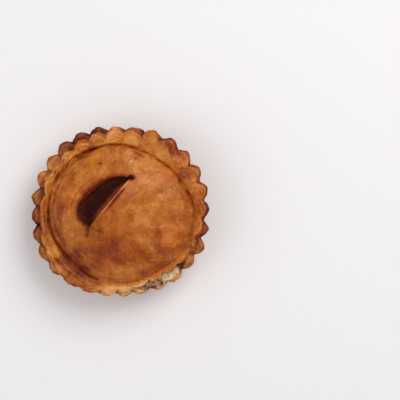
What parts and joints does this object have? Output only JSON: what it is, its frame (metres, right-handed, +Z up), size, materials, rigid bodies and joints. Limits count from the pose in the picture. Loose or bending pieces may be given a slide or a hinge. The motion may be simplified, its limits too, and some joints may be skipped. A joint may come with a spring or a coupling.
{
  "type": "curd tart",
  "caption": "Small round puff pastry tart with a fluted rim, a curd filling and a domed, glazed pastry lid slit open at the top.",
  "frame": {"origin": "centre of the outline's bounding box, on the surface the tart stands on", "axes": "+Z up through the domed lid; the slit's rounded side faces -X and its straight cut faces +X and -Y"},
  "size_m": [0.0973, 0.0927, 0.0341],
  "materials": {
    "case_pastry": "baked puff pastry, dry and flaky",
    "baked_curd": "dark baked curd with a thin skin",
    "lid_pastry": "egg-glazed golden puff pastry, half gloss"
  },
  "bodies": {
    "root": {"pastry_case": "case_pastry", "curd_filling": "baked_curd", "pastry_lid": "lid_pastry"}
  },
  "joints": []
}
